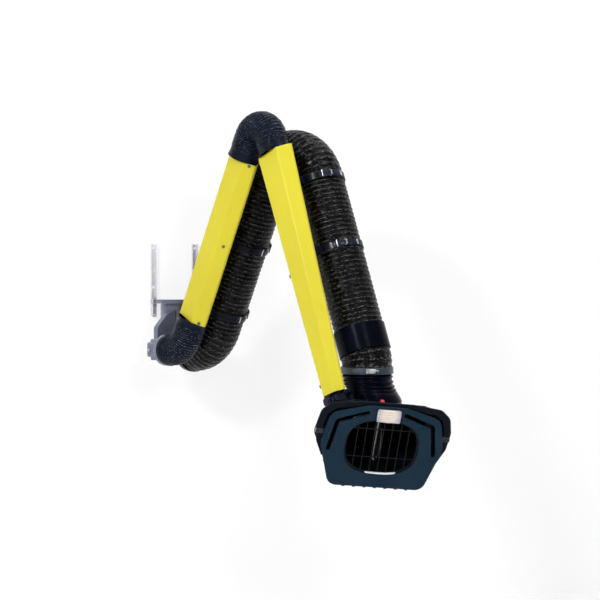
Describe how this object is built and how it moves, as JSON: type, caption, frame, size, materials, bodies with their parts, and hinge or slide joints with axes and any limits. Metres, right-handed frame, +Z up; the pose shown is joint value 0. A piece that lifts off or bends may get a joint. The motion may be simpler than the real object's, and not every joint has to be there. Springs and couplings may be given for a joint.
{
  "type": "wall-mounted fume extraction arm",
  "caption": "Wall-mounted articulated fume extraction arm with an outside ribbed hose, yellow arm covers, rubber elbow boots and a turning hood with work lamp and damper.",
  "frame": {"origin": "middle of the four wall bolt holes, on the wall plane", "axes": "+X along the wall to the right as seen from the room, +Y into the wall, +Z up"},
  "size_m": [0.8441, 1.2286, 1.2271],
  "materials": {
    "galvanised": "zinc-plated sheet",
    "cast_aluminium": "bead-blasted casting",
    "bush": "sintered bearing bush",
    "fasteners": "bright zinc",
    "arm_steel": "grey primer",
    "bulkhead_plastic": "moulded black",
    "friction_lining": "friction lining",
    "cover_yellow": "satin yellow shell",
    "boot_rubber": "glossy navy rubber",
    "flare_rubber": "black rubber",
    "hose_fabric": "black coated fabric",
    "strap": "black moulded strap",
    "clamp_steel": "dark plated band",
    "navy_paint": "satin navy paint",
    "hood_plastic": "blue-grey moulded hood",
    "bow_paint": "dark painted tube",
    "bright_steel": "bright wire and rod",
    "lamp_black": "black moulded lamp body",
    "lamp_glass": "fluted lens and frosted bulb",
    "blade_aluminium": "mill sheet",
    "lever_red": "red moulded lever"
  },
  "bodies": {
    "wall_bracket": {"rail_left": "galvanised", "rail_right": "galvanised", "bracket_flange": "cast_aluminium", "bracket_clips": "galvanised", "bracket_bolts": "fasteners", "swivel_bush": "bush"},
    "swivel": {"swivel_retainer": "cast_aluminium", "swivel_elbow": "cast_aluminium", "shoulder_housing": "cast_aluminium", "housing_plate": "cast_aluminium", "housing_screws": "fasteners", "boot_ring": "boot_rubber", "shoulder_fork": "arm_steel", "shoulder_pin": "fasteners", "outlet_clamp": "navy_paint", "hose_base_bend": "hose_fabric", "shoulder_boot": "boot_rubber"},
    "lower_arm": {"lower_tube": "arm_steel", "lower_knuckle": "arm_steel", "shoulder_discs": "friction_lining", "lower_bulkheads": "bulkhead_plastic", "lower_cover": "cover_yellow", "lower_back_panel": "cover_yellow", "lower_cover_screws": "fasteners", "hose_lower": "hose_fabric", "lower_straps": "strap", "elbow_fork": "arm_steel", "elbow_pin": "fasteners", "elbow_boot": "boot_rubber", "hose_elbow_bend": "hose_fabric"},
    "upper_arm": {"elbow_discs": "friction_lining", "upper_knuckle": "arm_steel", "upper_tube": "arm_steel", "upper_bulkheads": "bulkhead_plastic", "upper_cover": "cover_yellow", "upper_back_panel": "cover_yellow", "upper_cover_screws": "fasteners", "hose_upper": "hose_fabric", "upper_straps": "strap", "hose_cuff": "flare_rubber", "hose_neck": "hose_fabric", "neck_clamp": "clamp_steel", "arm_end_bracket": "navy_paint"},
    "hood_carrier": {"hood_yoke": "navy_paint", "yoke_nut": "fasteners", "hood_bellows": "flare_rubber"},
    "hood": {"hood_collar": "hood_plastic", "collar_retainer": "cast_aluminium", "hood_shell": "hood_plastic", "hood_face": "hood_plastic", "hood_pan": "hood_plastic", "hood_bow": "bow_paint", "bow_clips": "bright_steel", "hood_grille": "bright_steel", "lamp_housing": "lamp_black", "lamp_lens": "lamp_glass", "lamp_bulb": "lamp_glass"},
    "damper": {"damper_axle": "bright_steel", "damper_blade": "blade_aluminium", "damper_lever": "lever_red"}
  },
  "joints": [
    {"name": "swivel_turn", "type": "hinge", "parent": "wall_bracket", "child": "swivel", "pos_m": [0, -0.115, -0.13], "axis": [0, 0, 1], "range_deg": [-80, 60]},
    {"name": "shoulder_lift", "type": "hinge", "parent": "swivel", "child": "lower_arm", "pos_m": [-0.01835, -0.39522, -0.304], "axis": [-0.866, -0.5, 0], "range_deg": [-40, 25], "deforming": ["hose_base_bend", "shoulder_boot"]},
    {"name": "elbow_lift", "type": "hinge", "parent": "lower_arm", "child": "upper_arm", "pos_m": [0.19471, -0.76424, 0.45293], "axis": [-0.866, -0.5, 0], "range_deg": [-6, 85], "deforming": ["elbow_boot", "hose_elbow_bend"]},
    {"name": "hood_tilt", "type": "hinge", "parent": "upper_arm", "child": "hood_carrier", "pos_m": [0.37191, -1.07117, -0.44205], "axis": [-0.866, -0.5, 0], "range_deg": [-25, 25], "deforming": ["hood_bellows"]},
    {"name": "hood_turn", "type": "hinge", "parent": "hood_carrier", "child": "hood", "pos_m": [0.51814, -1.01245, -0.45874], "axis": [-0.0782, 0.1355, -0.9877], "range_deg": [-110, 18]},
    {"name": "damper_turn", "type": "hinge", "parent": "hood", "child": "damper", "pos_m": [0.50531, -1.08827, -0.54934], "axis": [0.0578, -0.3706, 0.927], "range_deg": [0, 90]}
  ]
}
